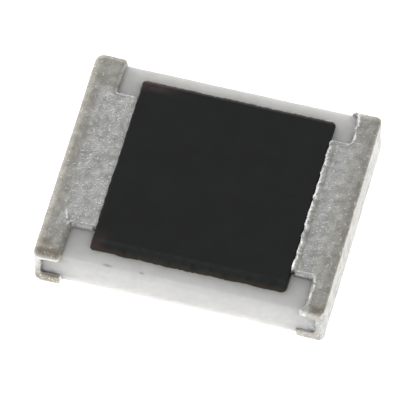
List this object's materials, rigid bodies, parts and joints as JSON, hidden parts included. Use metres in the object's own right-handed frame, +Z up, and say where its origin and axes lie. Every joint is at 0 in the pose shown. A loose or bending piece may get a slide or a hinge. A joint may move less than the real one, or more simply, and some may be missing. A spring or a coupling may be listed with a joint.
{
  "type": "chip resistor",
  "caption": "Thick-film chip resistor for surface mounting: a flat white ceramic block with a black printed coat on top and grey plated ends that wrap round for soldering.",
  "frame": {"origin": "middle of the footprint, on the board's surface", "axes": "+X along the length from the left end to the right end, +Y across the width to the back, +Z up from the board"},
  "size_m": [0.0032, 0.0026, 0.0006],
  "materials": {
    "alumina": "matt fired alumina",
    "resistive_paste": "fired resistive paste",
    "primary_glass": "thin fired glass",
    "black_coat": "matt black printed coat",
    "electrode_silver": "fired silver paste",
    "dipped_silver": "cured silver paste",
    "nickel": "electroplated nickel",
    "matte_tin": "matt electroplated tin"
  },
  "bodies": {
    "root": {"ceramic_substrate": "alumina", "resistive_film": "resistive_paste", "glass_layer": "primary_glass", "black_overcoat": "black_coat", "left_top_electrode": "electrode_silver", "right_top_electrode": "electrode_silver", "left_bottom_electrode": "electrode_silver", "right_bottom_electrode": "electrode_silver", "left_edge_electrode": "dipped_silver", "right_edge_electrode": "dipped_silver", "left_nickel_barrier": "nickel", "right_nickel_barrier": "nickel", "left_tin_plating": "matte_tin", "right_tin_plating": "matte_tin"}
  },
  "joints": []
}
